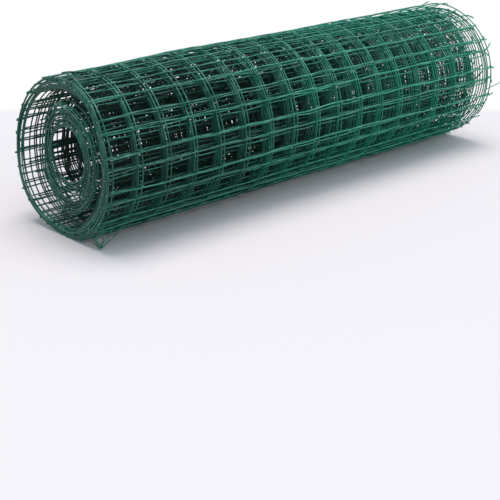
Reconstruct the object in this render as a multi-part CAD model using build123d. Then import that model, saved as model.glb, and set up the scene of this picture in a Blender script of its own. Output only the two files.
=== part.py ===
from build123d import *
import math
import os

# A roll of welded wire fencing, lying on its side with its axis along X.
# The line wires run round the roll, and the cross wires run along it and lie outside them.
# All lengths are in millimetres and all angles in degrees. Angles turn from +Y towards +Z.

# The mesh
cell_size = 50.0
cells_across = 17
wire_diameter = 2.2
cross_wire_tip = 12.0
line_wire_tip = 6.0

# The tight inner coil
bore_radius = 38.0
coil_turns = 11
coil_turn_pitch = 3.9

# The loose outer turns, measured over the cross wires at the free edge
outer_radius = 125.0
shell_turns = 4
shell_turn_pitch = 5.0

# Where the coil touches the outer turns, and where the sheet's free edge is wanted
touch_angle = 155.0
free_edge_angle = 212.0

# How deep the grooves between the turns are, on both ends of the roll
groove_depth = 10.0

bottom_angle = 270.0
half_turn = 180.0
sheet_width = cells_across * cell_size + wire_diameter
cross_wire_length = cells_across * cell_size + 2 * cross_wire_tip
cross_wire_offset = wire_diameter
seat_height = cross_wire_offset + wire_diameter / 2


class HalfTurn:
    """One half turn of the sheet: an arc of the line wires' middle line."""

    def __init__(self, centre, radius, start):
        self.centre = centre
        self.radius = radius
        self.start = start
        self.end = start + half_turn
        self.length = math.pi * radius

    def point(self, angle, outward=0.0):
        direction = Vector(math.cos(math.radians(angle)), math.sin(math.radians(angle)))
        return self.centre + direction * (self.radius + outward)

    def arc(self, start, end, outward=0.0):
        return Edge.make_circle(
            self.radius + outward,
            Plane(self.centre),
            start_angle=start % 360,
            end_angle=start % 360 + (end - start),
        )


def wind_sheet():
    """Lists the half turns from the bore outwards, each tangent to the last.

    The coil ends where it touches the outer turns. There the sheet goes on at a larger radius,
    so the outer turns stand away from the coil on the other side.
    """
    first_shell_radius = outer_radius - 1.5 * wire_diameter - shell_turns * shell_turn_pitch
    centre = Vector(0, 0)
    radius = bore_radius + wire_diameter / 2
    turns = []
    for index in range(2 * (coil_turns + shell_turns) + 1):
        turn = HalfTurn(centre, radius, touch_angle + half_turn * index)
        turns.append(turn)
        if index + 1 < 2 * coil_turns:
            radius += coil_turn_pitch / 2
        elif index + 1 == 2 * coil_turns:
            radius = first_shell_radius
        else:
            radius += shell_turn_pitch / 2
        centre = turn.point(turn.end, -radius)
    return turns


def locate(turns, length):
    """Finds the half turn and the angle at a length along the sheet from its inner end."""
    for turn in turns:
        if length <= turn.length or turn is turns[-1]:
            return turn, turn.start + math.degrees(length / turn.radius)
        length -= turn.length


def length_to(turns, angle):
    """The length along the sheet, from its inner end, to an angle counted through all the turns."""
    length = 0.0
    for turn in turns:
        if angle <= turn.end or turn is turns[-1]:
            return length + math.radians(angle - turn.start) * turn.radius
        length += turn.length


def outermost_cross_wires(turns):
    """Lengths along the sheet of the outermost turn's cross wires, the one at the free edge last.

    The roll rests on two of them, one half a cell before its lowest point and one half a cell after.
    """
    full_turn = 2 * half_turn
    past_touch = (free_edge_angle - touch_angle) % full_turn
    wanted = length_to(turns, turns[-1].start + past_touch)
    to_bottom = (bottom_angle - touch_angle) % full_turn
    bottom = length_to(turns, turns[-3].start + to_bottom)
    cells_after = round((wanted - bottom) / cell_size - 0.5)
    last = bottom + (cells_after + 0.5) * cell_size
    _, edge_angle = locate(turns, last + line_wire_tip)
    inner_end = length_to(turns, edge_angle - full_turn)
    count = int((last - inner_end) // cell_size) + 1
    lengths = [last - index * cell_size for index in reversed(range(count))]
    return lengths, edge_angle


def filled_section(turns, edge_angle):
    """The section with the space between the turns filled: open at the bore and beside the coil."""
    step_foot = turns[-3].point(edge_angle)
    step_top = turns[-1].point(edge_angle)
    outline = Wire(
        [
            turns[-3].arc(edge_angle - 2 * half_turn, turns[-3].end),
            turns[-2].arc(turns[-2].start, turns[-2].end),
            turns[-1].arc(turns[-1].start, edge_angle),
            Edge.make_line(step_top, step_foot),
        ]
    )
    last_coil_turn = turns[2 * coil_turns - 1]
    first_shell_turn = turns[2 * coil_turns]
    half_wire = wire_diameter / 2
    inside_shell = Pos(first_shell_turn.centre) * Circle(first_shell_turn.radius - half_wire)
    coil = Pos(last_coil_turn.centre) * Circle(last_coil_turn.radius + half_wire)
    bore = Pos(turns[0].centre) * Circle(bore_radius)
    return Face(outline) - (inside_shell - coil) - bore


def along_roll(section, length):
    """Extrudes a section drawn in Y and Z along X, half of the length each way."""
    return extrude(Plane.YZ * section, amount=length / 2, both=True)


def turn_groove(turn, pitch):
    """The groove between a half turn and the one outside it, turned about the half turn's centre."""
    middle = turn.radius + pitch / 2
    half_gap = (pitch - wire_diameter) / 2
    end = sheet_width / 2
    profile = Polygon(
        (middle, end - groove_depth),
        (middle + half_gap, end),
        (middle + half_gap, end + wire_diameter),
        (middle - half_gap, end + wire_diameter),
        (middle - half_gap, end),
        align=None,
    )
    along = Vector(1, 0, 0)
    centre = Vector(0, turn.centre.X, turn.centre.Y)
    outward = Vector(0, math.cos(math.radians(turn.start)), math.sin(math.radians(turn.start)))
    plane = Plane(centre, x_dir=outward, z_dir=outward.cross(along))
    return revolve(plane * profile, axis=Axis(centre, along), revolution_arc=half_turn)


def end_grooves(turns):
    """The grooves that part the turns, on both ends: one spiral in the coil and one in the outer turns."""
    first_shell_turn = 2 * coil_turns
    coil = [turn_groove(turn, coil_turn_pitch) for turn in turns[: first_shell_turn - 2]]
    shell = [turn_groove(turn, shell_turn_pitch) for turn in turns[first_shell_turn:-2]]
    one_end = coil + shell
    return one_end + [mirror(groove, about=Plane.YZ) for groove in one_end]


def cross_wire(turn, angle):
    """One cross wire of the outermost turn, six-sided, and the seat that carries it on the line wires."""
    wire_place = Pos(turn.point(angle, cross_wire_offset)) * Rot(0, 0, angle)
    seat_place = Pos(turn.point(angle, cross_wire_offset - seat_height / 2)) * Rot(0, 0, angle)
    wire_face = RegularPolygon(wire_diameter / 2, 6, major_radius=False, rotation=30)
    wire = along_roll(wire_place * wire_face, cross_wire_length)
    seat = along_roll(seat_place * Rectangle(seat_height, wire_diameter), sheet_width)
    return [wire, seat]


def wire_mesh_roll():
    turns = wind_sheet()
    wire_lengths, edge_angle = outermost_cross_wires(turns)
    roll = along_roll(filled_section(turns, edge_angle), sheet_width).cut(*end_grooves(turns))
    wires = []
    for length in wire_lengths:
        wires += cross_wire(*locate(turns, length))
    roll = roll.fuse(*wires)
    box = roll.bounding_box()
    to_origin = Pos(0, -box.center().Y, -box.min.Z)
    return to_origin * roll, to_origin * Pos(0, turns[0].centre.X, turns[0].centre.Y)


def main():
    roll, bore_place = wire_mesh_roll()
    os.makedirs("parts", exist_ok=True)
    export_step(roll, "parts/wire_mesh_roll.step")
    print("bore centre", bore_place.position, "length", sheet_width)
    print("box", roll.bounding_box())


main()
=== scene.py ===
"""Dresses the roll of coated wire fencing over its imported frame.

The roll is one sheet of welded mesh. Its line wires go round the roll and its cross wires
go along it, outside them. Every wire is a tube on a path in the sheet, and one function
places any point of the sheet in the roll, so that crossing wires always touch.
"""

import logging
import math
from dataclasses import dataclass
from enum import Enum
from typing import Union

import bpy
import numpy as np
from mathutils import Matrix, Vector


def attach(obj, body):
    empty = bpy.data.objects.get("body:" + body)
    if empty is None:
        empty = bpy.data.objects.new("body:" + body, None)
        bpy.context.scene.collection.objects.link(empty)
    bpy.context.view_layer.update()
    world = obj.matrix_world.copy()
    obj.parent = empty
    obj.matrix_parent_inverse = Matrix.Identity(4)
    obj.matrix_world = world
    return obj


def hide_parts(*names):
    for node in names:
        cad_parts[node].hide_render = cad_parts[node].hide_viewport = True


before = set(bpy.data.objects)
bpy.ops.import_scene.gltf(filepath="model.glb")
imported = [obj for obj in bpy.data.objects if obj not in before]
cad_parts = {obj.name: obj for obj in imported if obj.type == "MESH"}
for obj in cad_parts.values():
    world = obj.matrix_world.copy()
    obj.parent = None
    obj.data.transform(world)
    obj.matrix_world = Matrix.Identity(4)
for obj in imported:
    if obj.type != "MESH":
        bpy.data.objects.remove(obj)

logging.basicConfig(level=logging.INFO, format="%(message)s")
LOG = logging.getLogger("wire_roll")

MM = 0.001
BODY = "root"
NODE = "wire_mesh_roll"
FLOOR_GAP = 0.05 * MM
CUT_BEVEL = 0.12
CUT_RIM = 0.86
RING_STEPS = 720
Array = np.ndarray
Number = Union[float, Array]
Tree = bpy.types.NodeTree


def ramp(value: Array, low: float, high: float) -> Array:
    """Rises smoothly from 0 to 1 between two values: 3 t squared less 2 t cubed.

    Args:
        value: The numbers to look up.
        low: Where the rise starts.
        high: Where the rise ends.

    Returns:
        The height of the rise at each number.
    """
    t = np.clip((value - low) / (high - low), 0.0, 1.0)
    return t * t * (3.0 - 2.0 * t)


def hump(value: Array, middle: float, reach: float) -> Array:
    """A smooth hump of height 1: the square of 1 less the square of the distance over the reach.

    Args:
        value: The numbers to look up.
        middle: Where the hump is highest.
        reach: How far from there it ends.

    Returns:
        The height of the hump at each number.
    """
    t = np.clip(np.abs(value - middle) / reach, 0.0, 1.0)
    return (1.0 - t * t) ** 2


def between(value: Array, places: tuple, heights: tuple) -> Array:
    """Goes from one given height to the next, and is level at each.

    Between two of them the height is the first plus the rise times 3 t squared less 2 t cubed.

    Args:
        value: The numbers to look up.
        places: Where the heights are given, in rising order.
        heights: The height at each place. Outside the places the first and last one hold.

    Returns:
        The height at each number.
    """
    step = np.clip(np.searchsorted(places, value) - 1, 0, len(places) - 2)
    start, end = np.take(places, step), np.take(places, step + 1)
    low, high = np.take(heights, step), np.take(heights, step + 1)
    t = np.clip((value - start) / (end - start), 0.0, 1.0)
    return low + (high - low) * t * t * (3.0 - 2.0 * t)


def degrees_from_top(angle: Array) -> Array:
    """Degrees of an angle of the winding from the roll's top, towards +Y, from -180 to 180."""
    return (270.0 - np.degrees(angle)) % 360.0 - 180.0


@dataclass(frozen=True)
class Mesh:
    """The plan of the mesh as it comes off the welder, in metres."""

    cell: float = 50.0 * MM
    cells_across: int = 17
    wire: float = 2.2 * MM
    core: float = 1.7 * MM

    def line_wires(self) -> Array:
        """Places of the line wires across the sheet, one more than the cells."""
        return (np.arange(self.cells_across + 1) - self.cells_across / 2) * self.cell


@dataclass(frozen=True)
class RoundShape:
    """A closed outline about a middle point: its reach at a few angles, joined smoothly.

    The reach between two of them goes straight from one to the other, and is then averaged
    over the angles beside it with a bell curve.
    """

    degrees: tuple
    reach: tuple
    blur: float = 7.0

    def at(self, angle: Array) -> Array:
        """The reach at each angle, in radians.

        Args:
            angle: Angles in radians.

        Returns:
            The reach at each.
        """
        grid = np.arange(RING_STEPS) * (360.0 / RING_STEPS)
        rough = np.interp(grid, self.degrees, self.reach, period=360.0)
        away = np.minimum(grid, 360.0 - grid)
        bell = np.exp(-0.5 * (away / self.blur) ** 2)
        shares = bell / bell.sum()
        smooth = np.fft.irfft(np.fft.rfft(rough) * np.fft.rfft(shares), RING_STEPS)
        return np.interp(np.degrees(angle) % 360.0, grid, smooth, period=360.0)


@dataclass(frozen=True)
class Winding:
    """The path of the line wires in the roll's section, from the bore outwards.

    A point is the bore's centre plus a reach along its angle. Angles are in radians, counted
    through all the turns, from +Y towards +Z. In the coil the reach goes from the bore to the
    coil's outline, evenly with the turns. In the outer turns it goes from the outline inside
    them to the rim, a circle about its own centre that shrinks evenly from the free edge
    inwards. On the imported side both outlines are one, and on the open side they part.
    """

    start: float = math.radians(155.0)
    coil_turns: float = 13.0
    outer_turns: float = 12.184
    bore_y: float = -15.7428 * MM
    bore_z: float = 125.718 * MM
    bore_reach: float = 39.1 * MM
    rim_y: float = 0.57 * MM
    rim_z: float = 118.35 * MM
    rim_reach: float = 120.43 * MM
    rim_step: float = 2.4 * MM
    outer_pack: float = 21.0 * MM
    join_turns: float = 0.27
    length_steps: int = 15000
    coil_outline: RoundShape = RoundShape(
        (0, 22, 35, 47, 57, 67, 78, 100, 120, 150, 180)
        + (210, 240, 258, 275, 285, 295, 307, 325, 333, 343, 353),
        (68.5, 67.5, 69.5, 72, 74, 77, 80.5, 82, 80, 74, 72)
        + (75, 84, 91, 91.5, 90, 88.5, 85, 84, 81.5, 76.5, 70),
        4.0,
    )
    open_side: RoundShape = RoundShape(
        (0, 52, 68, 85, 110, 230, 252, 268), (1.0, 1.0, 0.6, 0.25, 0.05, 0.05, 0.35, 1.0), 5.0
    )

    @property
    def end(self) -> float:
        """The angle at the sheet's free edge."""
        return self.start + 2 * math.pi * (self.coil_turns + self.outer_turns)

    def rim(self, angle: Array, reach: Number) -> Array:
        """The distance from the bore's centre to a circle about the rim's centre.

        It is the shift of the centres along the angle, plus the root of the circle's radius
        squared less the shift across the angle squared.

        Args:
            angle: Angles of the winding.
            reach: The circle's radius.

        Returns:
            The distance at each angle.
        """
        y, z = self.rim_y - self.bore_y, self.rim_z - self.bore_z
        along = y * np.cos(angle) + z * np.sin(angle)
        return along + np.sqrt(reach**2 - (y * y + z * z) + along**2)

    def reach(self, angle: Array) -> Array:
        """The distance of the path from the bore's centre at each angle.

        Args:
            angle: Angles of the winding.

        Returns:
            The distance at each angle.
        """
        turns = (angle - self.start) / (2 * math.pi)
        left = (self.end - angle) / (2 * math.pi)
        rim = self.rim(angle, self.rim_reach)
        packed = self.bore_reach + (rim - self.bore_reach) * self.coil_turns / (
            self.coil_turns + self.outer_turns
        )
        opened = self.open_side.at(angle)
        coil_edge = packed + (self.coil_outline.at(angle) * MM - packed) * opened
        outer_edge = packed + (rim - self.outer_pack - packed) * opened
        coil = self.bore_reach + (coil_edge - self.bore_reach) * turns / self.coil_turns
        last_turn = self.rim(angle, self.rim_reach - self.rim_step * np.clip(left, 0.0, 1.0))
        inwards = np.clip((left - 1.0) / (self.outer_turns - 1.0), 0.0, 1.2)
        outer = last_turn + (outer_edge - last_turn) * inwards
        joined = ramp(turns, self.coil_turns, self.coil_turns + self.join_turns)
        return coil + (outer - coil) * joined

    def middle(self, angle: Array) -> Array:
        """The path's points in Y and Z, on a last axis of two.

        Args:
            angle: Angles of the winding.

        Returns:
            The points.
        """
        reach = self.reach(angle)
        y = self.bore_y + reach * np.cos(angle)
        z = self.bore_z + reach * np.sin(angle)
        return np.stack([y, z], axis=-1)

    def outward(self, angle: Array) -> Array:
        """The direction out of the sheet in Y and Z: the path's direction turned back a quarter.

        Args:
            angle: Angles of the winding.

        Returns:
            Directions of length one.
        """
        step = math.radians(0.5)
        ahead = unit(self.middle(angle + step) - self.middle(angle - step))
        return np.stack([ahead[..., 1], -ahead[..., 0]], axis=-1)

    def lengths(self) -> tuple[Array, Array]:
        """Angles in small even steps, and the length of the path up to each.

        Returns:
            The angles and the lengths.
        """
        angle = np.linspace(self.start, self.end, self.length_steps)
        steps = np.linalg.norm(np.diff(self.middle(angle), axis=0), axis=-1)
        return angle, np.concatenate([[0.0], np.cumsum(steps)])

    def from_rim_angle(self, angle: Array) -> Array:
        """Changes angles of points on the rim about its centre into angles about the bore's.

        Args:
            angle: Angles about the rim's centre.

        Returns:
            The angles about the bore's centre.
        """
        y = self.rim_y - self.bore_y + self.rim_reach * np.cos(angle)
        z = self.rim_z - self.bore_z + self.rim_reach * np.sin(angle)
        turn = np.arctan2(z, y) - angle
        return angle + (turn + math.pi) % (2 * math.pi) - math.pi


@dataclass(frozen=True)
class Slack:
    """How far the real turns lie off their even path, in metres.

    Each method is a smooth function of the angle and of the place across the sheet, so that
    the line wires and the cross wires move together. A pair named grows, ends, turns, along or
    reach says where a ramp starts and ends. A pair named top is the middle of a hump and how
    far it goes either way, in degrees from the roll's top.
    """

    winding: Winding
    half_width: float = 425.0 * MM
    coil_gap: float = 3.0 * MM
    coil_gap_grows: tuple = (0.3, 3.6)
    coil_gap_ends: tuple = (3.8, 4.8)
    coil_gap_side: float = math.radians(-15.0)
    unrest: float = 0.5 * MM
    near_loop: float = 6.5 * MM
    near_loop_reach: float = 35.0 * MM
    near_loop_top: tuple = (-1.0, 17.0)
    far_lift: float = 6.0 * MM
    far_lift_start: float = -20.0 * MM
    far_lift_top: tuple = (18.0, 60.0)
    far_bulge: float = 4.5 * MM
    far_bulge_start: float = 320.0 * MM
    far_bulge_top: tuple = (-80.0, 75.0)
    outermost_turns: tuple = (0.80, 1.05)
    slip_turns: tuple = (
        0.6, 1.6, 2.1, 4.6, 6.6, 7.6, 8.6, 9.6, 10.6, 11.6, 13.0, 14.5, 16.0, 18.0, 20.0
    )
    slip_mm: tuple = (
        0.0, -0.5, 1.0, 0.5, 4.0, 4.5, 14.0, 21.0, 24.0, 29.0, 3.0, 0.0, 2.0, -0.5, 1.0
    )
    slip_left_far: float = 0.25
    packed_hold: float = 0.8
    packed_hold_turns: tuple = (2.0, 6.0)
    packed_slip: float = -5.0 * MM
    packed_slip_grows: tuple = (0.75, 1.05)
    packed_slip_ends: tuple = (5.0, 9.0)
    far_spread: float = -30.0 * MM
    far_spread_turns: tuple = (0.75, 12.0)
    far_spread_along: tuple = (0.1, 0.9)
    coil_lean: float = 20.0 * MM
    coil_lean_reach: tuple = (2.0 * MM, 58.0 * MM)
    coil_lean_ends: tuple = (0.94, 1.02)
    turn_slip: float = 0.6 * MM
    turn_slip_turns: tuple = (0.6, 1.6)
    hoop_lean: RoundShape = RoundShape(
        (0, 37, 66, 90, 112, 135, 155, 180, 215, 277, 304, 331),
        (0.0, 6.0, 9.0, 9.5, 9.0, 6.0, 3.0, 1.5, 0.0, 1.0, -1.5, -3.0),
    )
    lean_left: float = 0.65
    near_shape: RoundShape = RoundShape(
        (0, 10, 24, 37, 52, 66, 82, 100, 115, 215, 277, 291, 304, 318, 331, 344),
        (-1.0, -1.5, -3.6, -5.0, -7.0, -5.5, -5.0, -2.5, 0.0, 0.0, -1.0, 0.0, 3.0, 8.0, 7.0, 3.0),
    )
    near_reach: float = 260.0 * MM
    coil_rise: float = 11.0 * MM
    coil_rise_reach: tuple = (5.0 * MM, 90.0 * MM)
    coil_rise_top: tuple = (18.0, 62.0)
    edge_across: tuple = (-425.0, -375.0, -300.0, -175.0, -75.0, 25.0, 425.0)
    edge_degrees: tuple = (-5.0, -0.5, 2.0, 0.0, -3.0, -2.5, -1.0)
    edge_turns: float = 0.13

    def turns_in(self, angle: Array) -> Array:
        """Turns from the bore."""
        return (angle - self.winding.start) / (2 * math.pi)

    def turns_out(self, angle: Array) -> Array:
        """Turns from the free edge."""
        return (self.winding.end - angle) / (2 * math.pi)

    def past_end(self, across: Array, reach: tuple) -> Array:
        """Rises from 0 to 1 between two distances from the near end."""
        return ramp(across, -self.half_width + reach[0], -self.half_width + reach[1])

    def coil_lift(self, angle: Array) -> Array:
        """Draws the inner turns in on the side of the open gap, which parts the coil in two.

        The pull grows over the first turns and ends within the next one. Round the roll it
        follows one plus the cosine of the angle from that side.

        Args:
            angle: Angles of the winding.

        Returns:
            The lift, outwards.
        """
        turn = self.turns_in(angle)
        pull = ramp(turn, *self.coil_gap_grows) * (1 - ramp(turn, *self.coil_gap_ends))
        side = 0.5 + 0.5 * np.cos(angle - self.coil_gap_side)
        return -self.coil_gap * pull * side**1.5

    def unrest_lift(self, angle: Array, across: Array) -> Array:
        """Small unevenness: a sum of waves that go round and along the roll at different rates.

        Args:
            angle: Angles of the winding.
            across: Places across the sheet.

        Returns:
            The lift, outwards.
        """
        waves = (
            np.sin(2.31 * angle + 9.0 * across + 0.4)
            + 0.8 * np.sin(3.73 * angle - 14.0 * across + 2.1)
            + 0.6 * np.sin(5.17 * angle + 21.0 * across + 4.4)
            + 0.4 * np.sin(8.11 * angle - 33.0 * across + 1.3)
        )
        return self.unrest * waves / 1.6

    def end_lift(self, angle: Array, across: Array) -> Array:
        """Lifts the outermost turn in a loop over the near end and in a looser far stretch.

        Args:
            angle: Angles of the winding.
            across: Places across the sheet.

        Returns:
            The lift, outwards.
        """
        from_top = degrees_from_top(angle)
        outermost = 1 - ramp(self.turns_out(angle), *self.outermost_turns)
        near = hump(across, -self.half_width, self.near_loop_reach)
        far = ramp(across, self.far_lift_start, self.half_width)
        far_end = ramp(across, self.far_bulge_start, self.half_width)
        loop = self.near_loop * near * hump(from_top, *self.near_loop_top)
        lift = self.far_lift * far * hump(from_top, *self.far_lift_top)
        bulge = self.far_bulge * far_end * hump(from_top, *self.far_bulge_top)
        return outermost * (loop + lift + bulge)

    def pressed_out(self, angle: Array, across: Array) -> Array:
        """Presses the near end out of round: in at the top of the open side, and out at its foot.

        The outer turns take all of it. Where they lie on the coil, its outer turns take part.

        Args:
            angle: Angles of the winding.
            across: Places across the sheet.

        Returns:
            The lift, outwards.
        """
        winding = self.winding
        inside = ramp(self.turns_in(angle), winding.coil_turns - 4.0, winding.coil_turns)
        outside = ramp(self.turns_in(angle), winding.coil_turns - 0.1, winding.coil_turns + 0.3)
        share = outside + (inside - outside) * (1 - winding.open_side.at(angle))
        near = 1 - self.past_end(across, (0.0, self.near_reach))
        return self.near_shape.at(angle) * MM * near * share

    def risen(self, angle: Array, across: Array) -> Array:
        """Past the near end the coil's outer turns rise at the top, against the outer turns.

        Args:
            angle: Angles of the winding.
            across: Places across the sheet.

        Returns:
            The lift, outwards.
        """
        coil_turns = self.winding.coil_turns
        turn = self.turns_in(angle)
        share = ramp(turn, 4.0, coil_turns) * (1 - ramp(turn, coil_turns, coil_turns + 0.5))
        place = hump(degrees_from_top(angle), *self.coil_rise_top)
        return self.coil_rise * share * self.past_end(across, self.coil_rise_reach) * place

    def lift(self, angle: Array, across: Array) -> Array:
        """How far a point of the sheet lies outside its even path."""
        lift = self.coil_lift(angle) + self.unrest_lift(angle, across) + self.risen(angle, across)
        return lift + self.end_lift(angle, across) + self.pressed_out(angle, across)

    def edge_slide(self, angle: Array, across: Array) -> Array:
        """How far the sheet's free edge has crept round the roll, as an angle: it is wavy."""
        crept = np.radians(between(across / MM, self.edge_across, self.edge_degrees))
        return crept * (1 - ramp(self.turns_out(angle), 0.0, self.edge_turns))

    def own_slip(self, out: Array, along: Array, packed: Array) -> Array:
        """Each turn's own slip from the outermost one, less towards the far end.

        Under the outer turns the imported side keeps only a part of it.

        Args:
            out: Turns from the free edge.
            along: Share of the way from the near end to the far end.
            packed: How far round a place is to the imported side, from 0 to 1.

        Returns:
            The slip along the roll.
        """
        left = 1 - (1 - self.slip_left_far) * along
        slipped = between(out, self.slip_turns, self.slip_mm) * MM * left
        return slipped * (1 - ramp(out, *self.packed_hold_turns) * self.packed_hold * packed)

    def near_slip(self, out: Array, along: Array, packed: Array) -> Array:
        """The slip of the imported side's next turns, out of the near end and less beyond it."""
        slipped = self.packed_slip * packed * ramp(out, *self.packed_slip_grows)
        return slipped * (1 - ramp(out, *self.packed_slip_ends)) * (1 - along)

    def far_slip(self, out: Array, along: Array, packed: Array) -> Array:
        """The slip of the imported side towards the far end, which spreads its outer turns."""
        spread = self.far_spread * packed * ramp(out, *self.far_spread_turns)
        return spread * ramp(along, *self.far_spread_along)

    def coil_slip(self, angle: Array, across: Array) -> Array:
        """The lean of the coil past the near end: the cosine of the angle, more for outer turns.

        Args:
            angle: Angles of the winding.
            across: Places across the sheet.

        Returns:
            The slip along the roll.
        """
        share = self.turns_in(angle) / self.winding.coil_turns
        in_coil = share * (1 - ramp(share, *self.coil_lean_ends))
        past_end = self.past_end(across, self.coil_lean_reach)
        return self.coil_lean * in_coil * past_end * np.cos(angle)

    def wavy_slip(self, angle: Array) -> Array:
        """Small slips of the turns under the outermost one: a sum of three waves.

        Args:
            angle: Angles of the winding.

        Returns:
            The slip along the roll.
        """
        out = self.turns_out(angle)
        waves = np.sin(4.78 * out + 1.0) + 0.8 * np.sin(1.37 * angle + 3.1)
        waves = waves + 0.5 * np.sin(2.9 * angle)
        return self.turn_slip * ramp(out, *self.turn_slip_turns) * waves

    def roll_lean(self, angle: Array, across: Array) -> Array:
        """The lean of the outer turns: their top is further along, most of all at the near end.

        Args:
            angle: Angles of the winding.
            across: Places across the sheet.

        Returns:
            The slip along the roll.
        """
        near = 1 - self.past_end(across, (0.0, 0.5 * self.near_reach))
        lean = self.hoop_lean.at(angle) * MM * (self.lean_left + (1 - self.lean_left) * near)
        coil_turns = self.winding.coil_turns
        return lean * ramp(self.turns_in(angle), coil_turns - 2.0, coil_turns + 2.0)

    def slip(self, angle: Array, across: Array) -> Array:
        """How far a point of the sheet has slipped along the roll: the sum of all of its slips.

        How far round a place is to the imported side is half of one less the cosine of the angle.

        Args:
            angle: Angles of the winding.
            across: Places across the sheet.

        Returns:
            The slip along the roll.
        """
        out = self.turns_out(angle)
        along = (across + self.half_width) / (2 * self.half_width)
        packed = 0.5 - 0.5 * np.cos(angle)
        slipped = self.own_slip(out, along, packed) + self.near_slip(out, along, packed)
        slipped = slipped + self.far_slip(out, along, packed)
        slipped = slipped - self.coil_slip(angle, across)
        return slipped + self.wavy_slip(angle) + self.roll_lean(angle, across)


@dataclass(frozen=True)
class Sheet:
    """The mesh wound into the roll: places any point of the sheet in the frame."""

    mesh: Mesh
    winding: Winding
    slack: Slack

    def place(self, angle: Array, across: Array, outward: Number = 0.0) -> Array:
        """Places points of the sheet.

        Across the sheet is X, with the slip added. In Y and Z a point is the path's point plus
        its lift along the outward direction. A wire that would go through the floor lies on it.

        Args:
            angle: Angles of the winding.
            across: Places across the sheet.
            outward: Distance outside the line wires' middle line.

        Returns:
            The points, on a last axis of three.
        """
        angle = angle + self.slack.edge_slide(angle, across)
        middle, out = self.winding.middle(angle), self.winding.outward(angle)
        away = outward + self.slack.lift(angle, across)
        y = middle[..., 0] + away * out[..., 0]
        z = middle[..., 1] + away * out[..., 1]
        on_floor = self.mesh.wire / 2 + FLOOR_GAP
        soft = 0.25 * MM
        z = on_floor + soft * np.logaddexp(0.0, (z - on_floor) / soft)
        x = across + self.slack.slip(angle, across)
        return np.stack(np.broadcast_arrays(x, y, z), axis=-1)


def new_object(name: str, data: bpy.types.ID) -> bpy.types.Object:
    """Makes an object of a mesh, a lamp or a camera and puts it in the scene.

    Args:
        name: The object's name.
        data: What it shows.

    Returns:
        The new object, standing at the origin.
    """
    obj = bpy.data.objects.new(name, data)
    bpy.context.scene.collection.objects.link(obj)
    return obj


@dataclass
class Surface:
    """The parts of a mesh as arrays, ready to go into Blender."""

    points: Array
    corners: Array
    starts: Array
    smooth: Array
    finish: Array
    uv: Array
    tone: Array

    def to_object(self, name: str, finishes: list[bpy.types.Material]) -> bpy.types.Object:
        """Makes a Blender object, standing at the origin with its place in its mesh.

        Args:
            name: The piece's name.
            finishes: The materials, in the order of the finish numbers.

        Returns:
            The new object.
        """
        data = bpy.data.meshes.new(name)
        data.vertices.add(len(self.points))
        data.vertices.foreach_set("co", self.points.astype(np.float32).ravel())
        data.loops.add(len(self.corners))
        data.loops.foreach_set("vertex_index", self.corners.astype(np.int32))
        data.polygons.add(len(self.starts))
        data.polygons.foreach_set("loop_start", self.starts.astype(np.int32))
        data.polygons.foreach_set("use_smooth", self.smooth.astype(bool))
        data.update(calc_edges=True)
        for finish in finishes:
            data.materials.append(finish)
        data.polygons.foreach_set("material_index", self.finish.astype(np.int32))
        data.uv_layers.new(name="wire_uv").data.foreach_set(
            "uv", self.uv.astype(np.float32).ravel()
        )
        data.attributes.new("wire_tone", "FLOAT", "POINT").data.foreach_set(
            "value", self.tone.astype(np.float32)
        )
        data.validate()
        return new_object(name, data)


def unit(vectors: Array) -> Array:
    """Scales vectors to length one."""
    return vectors / np.maximum(np.linalg.norm(vectors, axis=-1, keepdims=True), 1e-12)


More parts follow.
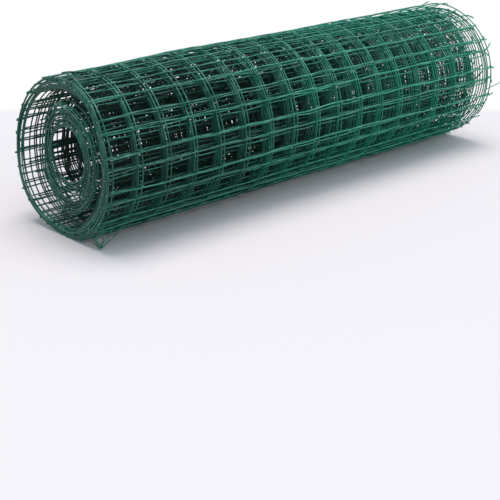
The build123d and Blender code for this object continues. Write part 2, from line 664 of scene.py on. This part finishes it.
def sweep(
    paths: Array, beside: Array, wire: float, core: float, sides: int, tone: Array
) -> Surface:
    """Carries a round wire along many paths at once, with its steel core bare on both cut ends.

    At each point of a path a ring stands square to the path's direction: the point plus the
    wire's radius times the cosine of the turn along one direction and its sine along the
    other. Each end has a smaller ring, a core's ring and a point in the middle.

    Args:
        paths: Points of the paths, shaped paths by points by three.
        beside: A direction never in line with the path, of a shape that fits the points.
        wire: The wire's diameter over its coat.
        core: The steel core's diameter.
        sides: Sides of a ring.
        tone: One number for each path, kept on its points.

    Returns:
        The joined surface of all the wires.
    """
    many, points = paths.shape[:2]
    ahead = unit(np.gradient(paths, axis=1))
    first = unit(np.cross(ahead, np.broadcast_to(beside, paths.shape)))
    second = np.cross(ahead, first)
    turn = 2 * math.pi * np.arange(sides) / sides
    round_way = (
        np.cos(turn)[:, None] * first[:, :, None, :] + np.sin(turn)[:, None] * second[:, :, None, :]
    )
    bevel = CUT_BEVEL * wire
    middle = np.concatenate([paths[:, :1]] * 2 + [paths] + [paths[:, -1:]] * 2, axis=1)
    out = np.concatenate([round_way[:, :1]] * 2 + [round_way] + [round_way[:, -1:]] * 2, axis=1)
    radius = np.full(points + 4, wire / 2)
    radius[[0, -1]] = core / 2
    radius[[1, -2]] = wire / 2 * CUT_RIM
    middle[:, 2] += ahead[:, 0] * bevel
    middle[:, -3] -= ahead[:, -1] * bevel
    rings = middle[:, :, None, :] + out * radius[None, :, None, None]
    ends = np.stack([paths[:, 0], paths[:, -1]], axis=1)
    vertices = np.concatenate([rings.reshape(many, -1, 3), ends], axis=1)
    per_path = vertices.shape[1]
    ring_count = points + 4

    ring = np.arange(ring_count - 1)[:, None] * sides
    side = np.arange(sides)[None, :]
    after = (side + 1) % sides
    quads = [ring + side, ring + after, ring + sides + after, ring + sides + side]
    quads = np.stack(quads, axis=-1).reshape(-1, 4)
    tip = ring_count * sides
    near = np.stack([np.full(sides, tip), after[0], side[0]], axis=-1)
    last = tip - sides
    far = np.stack([np.full(sides, tip + 1), last + side[0], last + after[0]], axis=-1)

    steps = np.linalg.norm(np.diff(middle, axis=1), axis=-1)
    length = np.concatenate([np.zeros((many, 1)), np.cumsum(steps, axis=1)], axis=1)
    u = np.stack([length[:, :-1], length[:, :-1], length[:, 1:], length[:, 1:]], axis=-1)
    u = np.repeat(u[:, :, None, :], sides, axis=2).reshape(many, -1, 4)
    v = np.stack([side[0], side[0] + 1, side[0] + 1, side[0]], axis=-1) / sides
    v = np.broadcast_to(np.tile(v, (ring_count - 1, 1)), u.shape)
    quad_uv = np.stack([u, v], axis=-1).reshape(many, -1, 2)
    cap_uv = np.zeros((many, 6 * sides, 2))

    corners = np.concatenate([quads.ravel(), near.ravel(), far.ravel()])
    shift = (np.arange(many) * per_path)[:, None]
    faces = len(quads) + 2 * sides
    starts = np.concatenate([np.arange(len(quads)) * 4, len(quads) * 4 + np.arange(2 * sides) * 3])
    smooth = np.ones(faces, bool)
    smooth[: 2 * sides] = False
    smooth[len(quads) - 2 * sides :] = False
    finish = np.zeros(faces, int)
    finish[len(quads) :] = 1
    return Surface(
        points=vertices.reshape(-1, 3),
        corners=(corners[None, :] + shift).ravel(),
        starts=(starts[None, :] + (np.arange(many) * len(corners))[:, None]).ravel(),
        smooth=np.tile(smooth, many),
        finish=np.tile(finish, many),
        uv=np.concatenate([quad_uv, cap_uv], axis=1).reshape(-1, 2),
        tone=np.repeat(tone, per_path),
    )


class Socket:
    """A shader value, so that shader maths reads as Python."""

    def __init__(self, tree: Tree, source: bpy.types.NodeSocket) -> None:
        """Keeps the node tree and the output socket that it stands for."""
        self.tree = tree
        self.source = source

    def combine(self, operation: str, *values: "Value") -> "Socket":
        """Adds a Math node.

        Args:
            operation: The Math node's operation.
            values: Its inputs, in order.

        Returns:
            The node's result.
        """
        inputs = dict(enumerate(values))
        return add_node(self.tree, "ShaderNodeMath", {"operation": operation}, inputs)

    def __add__(self, other: "Value") -> "Socket":
        """This plus the other."""
        return self.combine("ADD", self, other)

    def __radd__(self, other: float) -> "Socket":
        """The other plus this."""
        return self.combine("ADD", other, self)

    def __sub__(self, other: "Value") -> "Socket":
        """This less the other."""
        return self.combine("SUBTRACT", self, other)

    def __rsub__(self, other: float) -> "Socket":
        """The other less this."""
        return self.combine("SUBTRACT", other, self)

    def __mul__(self, other: "Value") -> "Socket":
        """This times the other."""
        return self.combine("MULTIPLY", self, other)

    def over(self, low: float, high: float) -> "Socket":
        """Rises smoothly from 0 to 1 as the value goes from low to high.

        Args:
            low: The value at 0.
            high: The value at 1.

        Returns:
            The rise.
        """
        settings = {"interpolation_type": "SMOOTHSTEP"}
        inputs = {"Value": self, "From Min": low, "From Max": high}
        return add_node(self.tree, "ShaderNodeMapRange", settings, inputs)


Value = Union[Socket, float]
Colour = Union[Socket, tuple]


def set_inputs(tree: Tree, node: bpy.types.Node, inputs: dict) -> None:
    """Gives a node its inputs.

    Args:
        tree: The node tree that it is in.
        node: The node.
        inputs: Values or sockets by the input's name or number.
    """
    for key, value in inputs.items():
        if isinstance(value, Socket):
            tree.links.new(value.source, node.inputs[key])
        else:
            node.inputs[key].default_value = value


def add_node(
    tree: Tree, kind: str, settings: dict, inputs: dict, output: Union[int, str] = 0
) -> Socket:
    """Adds one node to a shader.

    Args:
        tree: The node tree that it goes into.
        kind: The node's type.
        settings: Its properties, set before its inputs.
        inputs: Values or sockets by the input's name or number.
        output: The output wanted, by name or number.

    Returns:
        That output.
    """
    node = tree.nodes.new(kind)
    for key, value in settings.items():
        setattr(node, key, value)
    set_inputs(tree, node, inputs)
    return Socket(tree, node.outputs[output])


def split(tree: Tree, vector: Socket) -> tuple[Socket, Socket, Socket]:
    """Takes a vector apart into its X, Y and Z."""
    outputs = add_node(tree, "ShaderNodeSeparateXYZ", {}, {0: vector}).source.node.outputs
    return Socket(tree, outputs[0]), Socket(tree, outputs[1]), Socket(tree, outputs[2])


def mix_colours(tree: Tree, share: Socket, first: Colour, second: Colour) -> Socket:
    """Goes from one colour to another by a share from 0 to 1.

    Args:
        tree: The node tree.
        share: How much of the second colour.
        first: The first colour, a socket or four numbers.
        second: The second colour, a socket or four numbers.

    Returns:
        The mixed colour.
    """
    settings = {"data_type": "RGBA", "clamp_factor": True}
    return add_node(tree, "ShaderNodeMix", settings, {0: share, 6: first, 7: second}, 2)


def noise(tree: Tree, place: Socket, scale: float, detail: float = 3.0) -> Socket:
    """Smooth random values in space.

    Args:
        tree: The node tree.
        place: The coordinates that it reads.
        scale: Bumps in each metre.
        detail: Finer layers added.

    Returns:
        Values about 0.5.
    """
    inputs = {"Vector": place, "Scale": scale, "Detail": detail, "Roughness": 0.55}
    return add_node(tree, "ShaderNodeTexNoise", {"noise_dimensions": "3D"}, inputs, "Fac")


def new_material(name: str) -> tuple[bpy.types.Material, Tree, bpy.types.Node]:
    """Makes a material with its one shader.

    Args:
        name: The material's name.

    Returns:
        The material, its node tree and its Principled shader.
    """
    material = bpy.data.materials.new(name)
    material.use_nodes = True
    tree = material.node_tree
    return material, tree, tree.nodes["Principled BSDF"]


@dataclass(frozen=True)
class CoatFinish:
    """The green plastic coat: drawn on in long fine lines, dusty and painted lighter on top,
    scuffed in places, painted darker inside the roll.
    """

    # The first colour is a dark green painted as shade on the wires inside the roll.
    painted_shade: tuple = (0.0005, 0.022, 0.014, 1.0)
    deep: tuple = (0.002, 0.078, 0.050, 1.0)
    fresh: tuple = (0.004, 0.250, 0.152, 1.0)
    # The pale colour is partly real dust and partly painted light on faces that look up.
    dust_top_light_colour: tuple = (0.230, 0.560, 0.430, 1.0)
    scuff: tuple = (0.070, 0.300, 0.220, 1.0)
    roughness: float = 0.33
    specular: float = 0.36
    broad_scale: float = 11.0
    cloud_scale: float = 70.0
    grain_scale: float = 1500.0
    tone_share: float = 0.55
    broad_share: float = 0.9
    shade_drop: float = 0.2
    # Painted light towards the far end: a rise along X in the green's tone.
    painted_far_light_tone: float = 0.8
    dust_top_light_share: float = 0.70
    scuff_share: float = 0.5
    # Shares of painted light over the painted shade: on the outer turns and ends, and least
    # everywhere.
    painted_light_outside: float = 0.80
    painted_light_least: float = 0.14
    # Painted light towards the far end: a rise along X in the share over the painted shade.
    painted_far_light_share: float = 0.30
    # Where the painted shade inside the roll gives way to painted light: out towards the rim and
    # near both ends.
    middle_y: float = 0.57 * MM
    middle_z: float = 118.35 * MM
    painted_light_reach: tuple = (87.0 * MM, 117.5 * MM)
    painted_light_end: tuple = (404.0 * MM, 422.0 * MM)
    painted_light_end_share: float = 0.85
    line_scale: tuple = (60.0, 9.0, 1.0)
    line_depth: float = 0.1 * MM

    def painted_light(self, x: Socket, y: Socket, z: Socket) -> Socket:
        """How much painted light a place gets: on the outer turns and at both ends. Deeper in, it
        gets painted shade.

        How far out a place lies is its distance squared from the middle of the rim.

        Args:
            x: The place along the roll.
            y: The place across it.
            z: The place above the floor.

        Returns:
            A share from 0 to 1.
        """
        y, z = y - self.middle_y, z - self.middle_z
        outer = (y * y + z * z).over(self.painted_light_reach[0] ** 2, self.painted_light_reach[1] ** 2)
        at_end = x.combine("ABSOLUTE", x).over(*self.painted_light_end)
        return outer.combine("MAXIMUM", outer, at_end * self.painted_light_end_share)

    def paint(self, tree: Tree, place: Socket, dust_and_top_light: Socket, worn: Socket) -> Socket:
        """Mixes the colour by wire and by place. Inside the roll a painted shade takes over from
        the coat's colour, dust included.

        The mix of deep and fresh green is a share of the wire's tone, plus one of broad noise, less
        a fixed drop, plus a rise along X, which is painted light towards the far end. How much of
        it is seen over the painted shade is a share of how much painted light the place gets, plus
        a least share and a rise along X, more painted light towards the far end.

        Args:
            tree: The node tree.
            place: The coordinates.
            dust_and_top_light: How much dust lies on a face, with painted light on faces that look
                up.
            worn: How scuffed it is.

        Returns:
            The colour.
        """
        x, y, z = split(tree, place)
        tone = add_node(tree, "ShaderNodeAttribute", {"attribute_name": "wire_tone"}, {}, "Fac")
        shade = tone * self.tone_share + noise(tree, place, self.broad_scale) * self.broad_share
        # Painted light: the green gets fresher towards the far end, by x.
        shade = (shade - self.shade_drop + x * self.painted_far_light_tone).over(0.0, 1.0)
        base = mix_colours(tree, shade, self.deep, self.fresh)
        base = mix_colours(tree, dust_and_top_light * self.dust_top_light_share, base, self.dust_top_light_colour)
        # Painted shade: the colour goes to the dark green inside the roll. Painted light brings the
        # coat's colour back on the outer turns, at the ends and towards the far end.
        seen = self.painted_light(x, y, z) * self.painted_light_outside + self.painted_light_least + x * self.painted_far_light_share
        base = mix_colours(tree, seen, self.painted_shade, base)
        return mix_colours(tree, worn * self.scuff_share, base, self.scuff)

    def build(self) -> bpy.types.Material:
        """Makes the material. Dust and painted top light go by how far a face looks up, and the
        dust dulls the coat.

        Returns:
            The material.
        """
        material, tree, shader = new_material("green_coat")
        place = add_node(tree, "ShaderNodeTexCoord", {}, {}, "Object")
        normal = add_node(tree, "ShaderNodeNewGeometry", {}, {}, "Normal")
        cloud = noise(tree, place, self.cloud_scale)
        grain = noise(tree, place, self.grain_scale, 2.0)
        # Dust and painted light from above: faces that look up go paler, in clouds of noise.
        dust_and_top_light = split(tree, normal)[2].over(-0.2, 0.95) * cloud.over(0.25, 0.75)
        worn = cloud.over(0.60, 0.72) * grain.over(0.48, 0.62)
        base = self.paint(tree, place, dust_and_top_light, worn)
        rough = self.roughness + (cloud - 0.5) * 0.25 + dust_and_top_light * 0.22 + worn * 0.15
        along = add_node(tree, "ShaderNodeUVMap", {"uv_map": "wire_uv"}, {}, "UV")
        stretched = {"Vector": along, "Scale": self.line_scale}
        lines = noise(tree, add_node(tree, "ShaderNodeMapping", {}, stretched, "Vector"), 1.0, 2.0)
        height = lines * 0.6 + grain * 0.5
        relief = {"Strength": 0.35, "Distance": self.line_depth, "Height": height}
        bump = add_node(tree, "ShaderNodeBump", {}, relief, "Normal")
        surface = {"Base Color": base, "Roughness": rough, "Normal": bump, "IOR": 1.5}
        set_inputs(tree, shader, surface | {"Specular IOR Level": self.specular})
        return material


@dataclass(frozen=True)
class CutSteelFinish:
    """The steel core where a wire is cut: grey, with rust started in spots."""

    steel: tuple = (0.42, 0.43, 0.44, 1.0)
    rust: tuple = (0.16, 0.07, 0.03, 1.0)

    def build(self) -> bpy.types.Material:
        """Makes the material: steel and rust by fine noise, rougher and less metallic in rust.

        Returns:
            The material.
        """
        material, tree, shader = new_material("cut_steel")
        place = add_node(tree, "ShaderNodeTexCoord", {}, {}, "Object")
        spots = noise(tree, place, 900.0).over(0.5, 0.7)
        base = mix_colours(tree, spots, self.steel, self.rust)
        rough = 0.35 + spots * 0.4
        set_inputs(tree, shader, {"Base Color": base, "Roughness": rough, "Metallic": 1 - spots})
        return material


class Part(Enum):
    """Which part of the roll a set of wires belongs to."""

    COIL = "coil"
    WALL = "wall"
    FACE = "face"


@dataclass(frozen=True)
class Detail:
    """How finely the wires of one part of the roll are made."""

    points_a_turn: int
    steps_a_cell: int
    sides: int


DETAIL = {Part.COIL: Detail(50, 4, 5), Part.WALL: Detail(56, 4, 5), Part.FACE: Detail(90, 8, 6)}


@dataclass
class WireSet:
    """Base of the sets of wires: holds the sheet, the finishes and the seed of the chances."""

    sheet: Sheet
    finishes: list
    part: Part
    seed: int = 1
    face_turns: float = 2.25
    tones: tuple = (0.3, 0.9)

    def chances(self) -> np.random.Generator:
        """A seeded source of chances, so that each run gives the same roll."""
        return np.random.default_rng(self.seed)

    def span(self) -> tuple[float, float]:
        """The angles at which this part of the roll starts and ends.

        Returns:
            The two angles.
        """
        winding = self.sheet.winding
        coil_end = winding.start + 2 * math.pi * winding.coil_turns
        face_start = winding.end - 2 * math.pi * self.face_turns
        edges = {Part.COIL: (winding.start, coil_end), Part.WALL: (coil_end, face_start)}
        return edges.get(self.part, (face_start, winding.end))

    def dress(self, surface: Surface, name: str) -> bpy.types.Object:
        """Makes the piece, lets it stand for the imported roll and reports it.

        Args:
            surface: The piece's surface.
            name: The piece's name.

        Returns:
            The piece.
        """
        obj = surface.to_object(name, self.finishes)
        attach(obj, BODY)
        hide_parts(NODE)
        corners = np.diff(np.append(surface.starts, len(surface.corners)))
        LOG.info("%s: %d triangles", name, int((corners - 2).sum()))
        return obj


@dataclass
class LineWires(WireSet):
    """The wires that go round the roll, eighteen spirals side by side."""

    tip: float = 6.0 * MM
    wander: float = 0.7 * MM
    wave_rates: tuple = (1.7, 2.9, 4.3)
    wave_heights: tuple = (1.0, 0.6, 0.4)
    overlap: float = math.radians(2.0)
    tones: tuple = (0.25, 0.75)

    def build(self) -> bpy.types.Object:
        """Sweeps the wires of one part of the roll.

        A wire's place across the sheet is its own place plus a sum of three slow waves along
        its length.

        Returns:
            The piece.
        """
        mesh, winding, detail = self.sheet.mesh, self.sheet.winding, DETAIL[self.part]
        start, end = self.span()
        if self.part is Part.COIL:
            start -= self.tip / winding.bore_reach
        if self.part is not Part.FACE:
            end += self.overlap
        angle = np.linspace(start, end, int(detail.points_a_turn * (end - start) / (2 * math.pi)))
        chance = self.chances()
        places = mesh.line_wires()
        phase = chance.uniform(0, 2 * math.pi, (3, len(places), 1))
        rates = np.array(self.wave_rates)[:, None, None]
        heights = np.array(self.wave_heights)[:, None, None]
        waves = (np.sin(rates * angle + phase) * heights).sum(0)
        paths = self.sheet.place(angle, places[:, None] + self.wander * waves)
        tone = chance.uniform(*self.tones, len(places))
        surface = sweep(paths, np.array([1.0, 0.0, 0.0]), mesh.wire, mesh.core, detail.sides, tone)
        return self.dress(surface, f"{self.part.value}_line_wires")


def outwards(angle: Array) -> Array:
    """The direction out from the bore at each angle, which is never in line with a cross wire."""
    return np.stack([np.zeros_like(angle), np.cos(angle), np.sin(angle)], axis=-1)


@dataclass
class CrossWires(WireSet):
    """The wires that go along the roll, outside the line wires, welded to each of them."""

    near_tip: float = 1.8 * MM
    near_share: tuple = (0.8, 1.5)
    far_tip: float = 13.0 * MM
    far_share: tuple = (0.75, 1.1)
    tip_bend: float = 12.0 * MM
    last_wire: float = math.radians(215.5)
    crimp: float = 0.35 * MM
    wander: float = 1.1 * MM
    tones: tuple = (0.0, 1.0)
    cells: tuple = (0, 1, 2, 3, 4, 15, 16, 17, 18, 20)
    cell_angles: tuple = (0.0, 23.5, 47.5, 72.5, 98.5, 374.0, 398.3, 422.7, 447.3, 496.0)

    def angles(self) -> Array:
        """The angle of every cross wire, from the free edge inwards.

        The first are listed about the rim's centre, in degrees back from the free edge.
        From there on they lie one cell apart by the length of the path.

        Returns:
            The angles.
        """
        winding, mesh = self.sheet.winding, self.sheet.mesh
        by_hand = np.interp(np.arange(self.cells[-1] + 1), self.cells, self.cell_angles)
        full_turns = 2 * math.pi * (winding.coil_turns + int(winding.outer_turns))
        outer = winding.from_rim_angle(self.last_wire - np.radians(by_hand)) + full_turns
        grid, length = winding.lengths()
        last = np.interp(outer[-1], grid, length)
        inner = np.interp(last - mesh.cell * np.arange(1, int(last // mesh.cell) + 1), length, grid)
        return np.concatenate([outer, inner])

    def own_angles(self) -> Array:
        """The angles of the wires of this part of the roll.

        Returns:
            The angles.
        """
        angles = self.angles()
        start, end = self.span()
        return angles[(angles >= start) & (angles < end)]

    def build(self) -> bpy.types.Object:
        """Sweeps the wires of one part of the roll.

        A wire runs from its near tip to its far tip. It wanders round the roll by a sum of
        waves, and is pressed in a little at every line wire. Its tips lean at random.

        Returns:
            The piece.
        """
        mesh, winding = self.sheet.mesh, self.sheet.winding
        angles = self.own_angles()
        many = len(angles)
        chance = self.chances()
        half = mesh.cells_across * mesh.cell / 2
        detail = DETAIL[self.part]
        inside = np.linspace(-half, half, mesh.cells_across * detail.steps_a_cell + 1)
        near = self.near_tip * chance.uniform(*self.near_share, (many, 1))
        far = self.far_tip * chance.uniform(*self.far_share, (many, 1))
        tips = np.linspace(0.25, 1.0, 4)
        inside = np.broadcast_to(inside, (many, len(inside)))
        across = np.concatenate([-half - near * tips[::-1], inside, half + far * tips], axis=1)
        phase = chance.uniform(0, 2 * math.pi, (4, many, 1))
        waves = (
            np.sin(8.0 * across + phase[0])
            + 0.7 * np.sin(19.0 * across + phase[1])
            + 0.5 * np.sin(37.0 * across + phase[2])
            + 0.5 * np.sin(66.0 * across + phase[3])
        )
        reach = winding.reach(angles)[:, None]
        past = np.maximum(np.abs(across) - half, 0.0)
        lean = chance.uniform(-1.0, 1.0, (2, many, 1)) * past**2 / self.tip_bend
        angle = angles[:, None] + (self.wander * waves + lean[0]) / reach
        pressed = -self.crimp * 0.5 * (1 + np.cos(2 * math.pi * (across + half) / mesh.cell))
        outward = mesh.wire + self.crimp * 0.5 + pressed + 0.5 * lean[1]
        paths = self.sheet.place(angle, across, outward)
        tone = chance.uniform(*self.tones, many)
        surface = sweep(paths, outwards(angle), mesh.wire, mesh.core, detail.sides, tone)
        return self.dress(surface, f"{self.part.value}_cross_wires")


@dataclass
class WeldBeads(CrossWires):
    """The thick spots of coat over the welds, where the wires cross in the outermost turns."""

    girth: float = 3.0 * MM
    length: float = 4.2 * MM
    lift: float = 0.62
    sides: int = 6
    tones: tuple = (0.3, 0.9)

    def build(self) -> bpy.types.Object:
        """Puts a short thick sleeve on each crossing, between the two wires' middles.

        A sleeve that would go through the floor lies on it.

        Returns:
            The piece.
        """
        mesh = self.sheet.mesh
        stub = np.linspace(-0.5, 0.5, 3) * self.length
        across = mesh.line_wires()[None, :, None] + stub
        own = self.own_angles()[:, None, None]
        angle = np.broadcast_to(own, (len(own),) + across.shape[1:])
        paths = self.sheet.place(angle, across, self.lift * mesh.wire)
        paths[..., 2] = np.maximum(paths[..., 2], self.girth / 2 + FLOOR_GAP)
        paths, beside = paths.reshape(-1, 3, 3), outwards(angle).reshape(-1, 3, 3)
        tone = self.chances().uniform(*self.tones, len(paths))
        surface = sweep(paths, beside, self.girth, mesh.core, self.sides, tone)
        surface.finish[:] = 0
        return self.dress(surface, f"{self.part.value}_weld_beads")


@dataclass
class LooseEnds(WireSet):
    """Bent wires that have sprung out of the mesh, at the free edge's near corner and the far end.

    Each is a few points in millimetres, in the frame, from where it leaves the roll to its tip.
    They are made thinner than the mesh by a share.
    """

    wires: tuple = (
        ((-423, -97, 50), (-424, -90, 36), (-421, -86, 21), (-420, -81, 8), (-419, -76, 1.6)),
        ((-372, -66, 21), (-388, -71, 15), (-403, -74, 9), (-418, -76, 2.0)),
        ((-426, -44, 27), (-426, -55, 27), (-425, -66, 25), (-424, -77, 28), (-424, -87, 36)),
        ((-424, -86, 34), (-424, -85, 24), (-422, -76, 18), (-422, -64, 17), (-423, -60, 10))
        + ((-421, -75, 2.2),),
        ((-425, -60, 23), (-424, -69, 14), (-421, -71, 7), (-420, -79, 2.6)),
        ((-409, -92, 34), (-412, -87, 21), (-417, -79, 11), (-418, -74, 3.0)),
        ((-415, -84, 30), (-420, -78, 23), (-423, -70, 20), (-424, -74, 12), (-420, -83, 9)),
        ((418, -116, 101), (434, -117, 104), (448, -121, 108), (458, -124, 112)),
    )
    thickness: float = 0.7
    points: int = 24
    sides: int = 8
    beside: tuple = (0.35, 0.93, -0.1)

    def curve(self, wire: tuple) -> Array:
        """Rounds a wire's bends.

        Each corner is cut off at a quarter of the way to its neighbours, three times over.
        Then the line is parted evenly by its length.

        Args:
            wire: The wire's points in millimetres.

        Returns:
            The rounded wire's points in metres.
        """
        line = np.array(wire, float) * MM
        for _ in range(3):
            near, far = line[:-1] * 0.75 + line[1:] * 0.25, line[:-1] * 0.25 + line[1:] * 0.75
            cut = np.stack([near, far], axis=1).reshape(-1, 3)
            line = np.concatenate([line[:1], cut, line[-1:]])
        length = np.concatenate([[0.0], np.cumsum(np.linalg.norm(np.diff(line, axis=0), axis=-1))])
        even = np.linspace(0.0, length[-1], self.points)
        return np.stack([np.interp(even, length, line[:, axis]) for axis in range(3)], axis=-1)

    def build(self) -> bpy.types.Object:
        """Sweeps all the loose wires as one piece.

        Returns:
            The piece.
        """
        mesh = self.sheet.mesh
        paths = np.stack([self.curve(wire) for wire in self.wires])
        tone = self.chances().uniform(*self.tones, len(paths))
        wire, core = mesh.wire * self.thickness, mesh.core * self.thickness
        surface = sweep(paths, np.array(self.beside), wire, core, self.sides, tone)
        return self.dress(surface, "loose_ends")


@dataclass(frozen=True)
class Lamp:
    """One broad lamp far away: its strength on a face square to it, and its colour.

    Its spread is how wide it looks, and its tilt is its turn about X and Y from straight above,
    both in degrees.
    """

    name: str
    strength: float
    spread: float
    tilt: tuple
    colour: tuple

    def build(self) -> None:
        """Hangs the lamp."""
        data = bpy.data.lights.new(self.name, "SUN")
        data.energy = self.strength
        data.color = self.colour
        data.angle = math.radians(self.spread)
        lamp = new_object(self.name, data)
        lamp.rotation_euler = [math.radians(turn) for turn in self.tilt]


@dataclass(frozen=True)
class Studio:
    """The plain room: a pale floor, a white background, soft light and the camera."""

    floor_colour: tuple = (0.855, 0.731, 0.746, 1.0)
    camera_place: tuple = (-1.2004, -1.2261, 0.5492)
    camera_ahead: tuple = (0.6315, 0.6807, -0.3713)
    focal_px: float = 1052.9
    floor_size: float = 9.0
    floor_end: float = 2.16
    floor_fade: tuple = (0.02, 0.03)
    lamps: tuple = (
        Lamp("ceiling_lamp", 1.95, 40.0, (-7.0, 4.0, 0.0), (1.0, 1.0, 1.0)),
        Lamp("side_lamp", 1.0, 100.0, (54.0, 24.0, 0.0), (0.78, 0.95, 1.0)),
    )
    world_strength: float = 0.52
    world_colour: tuple = (0.66, 0.90, 1.0, 1.0)
    white: tuple = (1.0, 1.0, 1.0, 1.0)

    def build_floor(self) -> None:
        """Lays a large flat floor. Past a line behind the roll, the camera sees it white."""
        material, tree, shader = new_material("floor_paint")
        paint = {"Base Color": self.floor_colour, "Roughness": 0.85, "Specular IOR Level": 0.1}
        set_inputs(tree, shader, paint)
        place = add_node(tree, "ShaderNodeTexCoord", {}, {}, "Object")
        ahead = np.array(self.camera_ahead[:2]) / np.linalg.norm(self.camera_ahead[:2])
        shift = float(np.dot(ahead, self.camera_place[:2]))
        inputs = {0: place, 1: (float(ahead[0]), float(ahead[1]), 0.0)}
        product = {"operation": "DOT_PRODUCT"}
        far = add_node(tree, "ShaderNodeVectorMath", product, inputs, "Value")
        before, after = self.floor_fade
        beyond = (far - shift).over(self.floor_end - before, self.floor_end + after)
        seen = add_node(tree, "ShaderNodeLightPath", {}, {}, "Is Camera Ray")
        glow = {"Color": self.white, "Strength": 1.0}
        white = add_node(tree, "ShaderNodeEmission", {}, glow)
        shaders = {0: beyond * seen, 1: Socket(tree, shader.outputs[0]), 2: white}
        mixed = add_node(tree, "ShaderNodeMixShader", {}, shaders)
        tree.links.new(mixed.source, tree.nodes["Material Output"].inputs["Surface"])
        data = bpy.data.meshes.new("floor")
        size = self.floor_size
        corners = [(-size, -size, 0), (size, -size, 0), (size, size, 0), (-size, size, 0)]
        data.from_pydata(corners, [], [(0, 1, 2, 3)])
        data.materials.append(material)
        floor = new_object("floor", data)

    def build_world(self) -> None:
        """Lights the room evenly. The camera sees it white."""
        world = bpy.data.worlds.new("soft_room")
        bpy.context.scene.world = world
        world.use_nodes = True
        tree = world.node_tree
        white = add_node(tree, "ShaderNodeLightPath", {}, {}, "Is Camera Ray")
        colour = mix_colours(tree, white, self.world_colour, self.white)
        strength = self.world_strength + white * (1.0 - self.world_strength)
        set_inputs(tree, tree.nodes["Background"], {"Color": colour, "Strength": strength})

    def build_camera(self) -> None:
        """Sets the camera by its place, direction and focal length in a 500 pixel frame."""
        data = bpy.data.cameras.new("camera")
        data.sensor_width = 36.0
        data.lens = self.focal_px / 500.0 * 36.0
        camera = new_object("camera", data)
        camera.location = self.camera_place
        camera.rotation_euler = Vector(self.camera_ahead).to_track_quat("-Z", "Y").to_euler()
        bpy.context.scene.camera = camera

    def build(self) -> None:
        """Builds the room."""
        self.build_floor()
        self.build_world()
        for lamp in self.lamps:
            lamp.build()
        self.build_camera()
        bpy.context.scene.view_settings.view_transform = "Standard"


def main() -> None:
    """Builds the roll and the room."""
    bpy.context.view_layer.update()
    mesh, winding = Mesh(), Winding()
    sheet = Sheet(mesh, winding, Slack(winding))
    finishes = [CoatFinish().build(), CutSteelFinish().build()]
    for seed, part in enumerate(Part):
        LineWires(sheet, finishes, part, seed=11 + seed).build()
        CrossWires(sheet, finishes, part, seed=38 + seed).build()
    WeldBeads(sheet, finishes, Part.FACE, seed=51).build()
    LooseEnds(sheet, finishes, Part.FACE, seed=61).build()
    Studio().build()
    bpy.context.view_layer.update()


if __name__ == "__main__":
    main()
